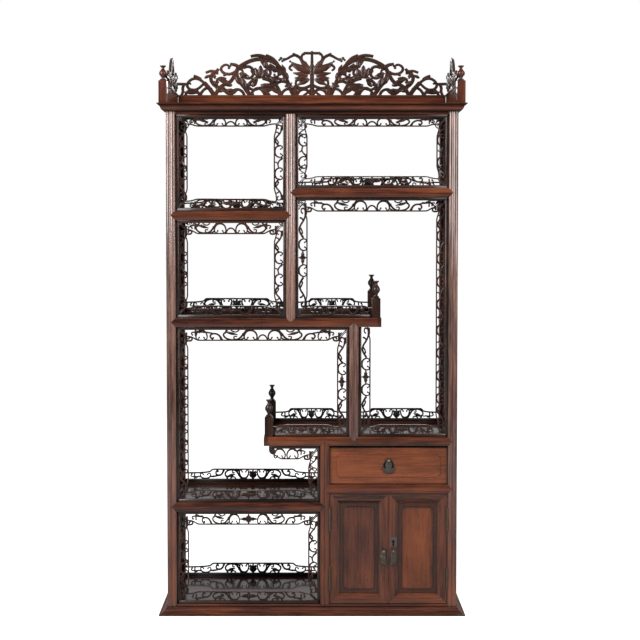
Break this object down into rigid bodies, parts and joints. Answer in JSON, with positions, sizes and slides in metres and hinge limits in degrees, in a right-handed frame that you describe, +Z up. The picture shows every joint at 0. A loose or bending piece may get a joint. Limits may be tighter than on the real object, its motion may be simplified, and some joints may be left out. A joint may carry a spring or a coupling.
{
  "type": "display cabinet",
  "caption": "Tall carved wood display cabinet with stepped open shelves, pierced fret boards, a drawer, a two-door cupboard and a crested gallery on top.",
  "frame": {"origin": "middle of the footprint, on the floor", "axes": "+Z up, the front faces -Y, +X to the right of someone who faces the front"},
  "size_m": [0.995, 0.3454, 1.8785],
  "materials": {
    "frame_wood": "waxed, semi-gloss",
    "carved_wood": "waxed, worn on the edges",
    "board_wood": "waxed",
    "drawer_face_wood": "waxed, semi-gloss",
    "red_panel_wood": "waxed, semi-gloss",
    "amber_panel_wood": "waxed, semi-gloss",
    "inner_wood": "bare",
    "brass_fittings": "aged",
    "bronze_fittings": "dark patina"
  },
  "bodies": {
    "cabinet": {"back_corner_brackets": "carved_wood", "back_corner_posts": "frame_wood", "back_galleries": "carved_wood", "bottom_board": "board_wood", "bottom_frame": "frame_wood", "cornice_mouldings": "frame_wood", "crest_back_board": "carved_wood", "crest_left_board": "carved_wood", "crest_right_board": "carved_wood", "cupboard_boards": "board_wood", "drawer_rail_frame": "frame_wood", "dust_board": "board_wood", "fret_left_bay": "carved_wood", "fret_lower_left_bay": "carved_wood", "fret_right_bay": "carved_wood", "fret_second_left_bay": "carved_wood", "fret_upper_left_bay": "carved_wood", "fret_upper_right_bay": "carved_wood", "front_left_post": "frame_wood", "front_right_post": "frame_wood", "left_post_hinge_leaves": "brass_fittings", "left_side_frets": "carved_wood", "lower_divider_posts": "frame_wood", "middle_divider_posts": "frame_wood", "plinth_mouldings": "frame_wood", "right_post_hinge_leaves": "brass_fittings", "right_side_frets": "carved_wood", "shelf_lower_left_frame": "frame_wood", "shelf_lower_left_panel": "board_wood", "shelf_middle_left_frame": "frame_wood", "shelf_middle_left_panel": "board_wood", "shelf_middle_right_frame": "frame_wood", "shelf_middle_right_panel": "board_wood", "shelf_upper_left_frame": "frame_wood", "shelf_upper_left_panel": "board_wood", "shelf_upper_right_frame": "frame_wood", "shelf_upper_right_panel": "board_wood", "step_finial_posts": "frame_wood", "top_board": "board_wood", "top_finial_posts": "frame_wood", "top_frame": "frame_wood", "upper_divider_posts": "frame_wood"},
    "drawer": {"drawer_front": "drawer_face_wood", "drawer_sides": "inner_wood", "drawer_back": "inner_wood", "drawer_bottom": "inner_wood", "drawer_pull_mount": "bronze_fittings"},
    "drawer_pull": {"drawer_pull_drop": "bronze_fittings"},
    "left_door": {"left_door_frame": "frame_wood", "left_door_panel": "red_panel_wood", "left_door_hinge_leaves": "brass_fittings", "left_handle_mount": "bronze_fittings"},
    "right_door": {"right_door_frame": "frame_wood", "right_door_panel": "amber_panel_wood", "right_door_hinge_leaves": "brass_fittings", "right_handle_mount": "bronze_fittings", "lock_case": "bronze_fittings"},
    "left_handle": {"left_handle_drop": "bronze_fittings"},
    "right_handle": {"right_handle_drop": "bronze_fittings"},
    "lock_bolt": {"lock_bolt": "brass_fittings"}
  },
  "joints": [
    {"name": "drawer_slide", "type": "slide", "parent": "cabinet", "child": "drawer", "axis": [0, -1, 0], "range_m": [0, 0.2]},
    {"name": "drawer_pull_swing", "type": "hinge", "parent": "drawer", "child": "drawer_pull", "pos_m": [0.2495, -0.14405, 0.504], "axis": [-1, 0, 0], "range_deg": [0, 85]},
    {"name": "left_door_hinge", "type": "hinge", "parent": "cabinet", "child": "left_door", "pos_m": [0.05775, -0.14325, 0.03], "axis": [0, 0, -1], "range_deg": [0, 110]},
    {"name": "right_door_hinge", "type": "hinge", "parent": "cabinet", "child": "right_door", "pos_m": [0.44125, -0.14325, 0.03], "axis": [0, 0, 1], "range_deg": [0, 110]},
    {"name": "left_handle_swing", "type": "hinge", "parent": "left_door", "child": "left_handle", "pos_m": [0.2335, -0.14405, 0.208], "axis": [-1, 0, 0], "range_deg": [0, 85]},
    {"name": "right_handle_swing", "type": "hinge", "parent": "right_door", "child": "right_handle", "pos_m": [0.2655, -0.14405, 0.208], "axis": [-1, 0, 0], "range_deg": [0, 85]},
    {"name": "lock_bolt_slide", "type": "slide", "parent": "right_door", "child": "lock_bolt", "axis": [-1, 0, 0], "range_m": [0, 0.007]}
  ]
}
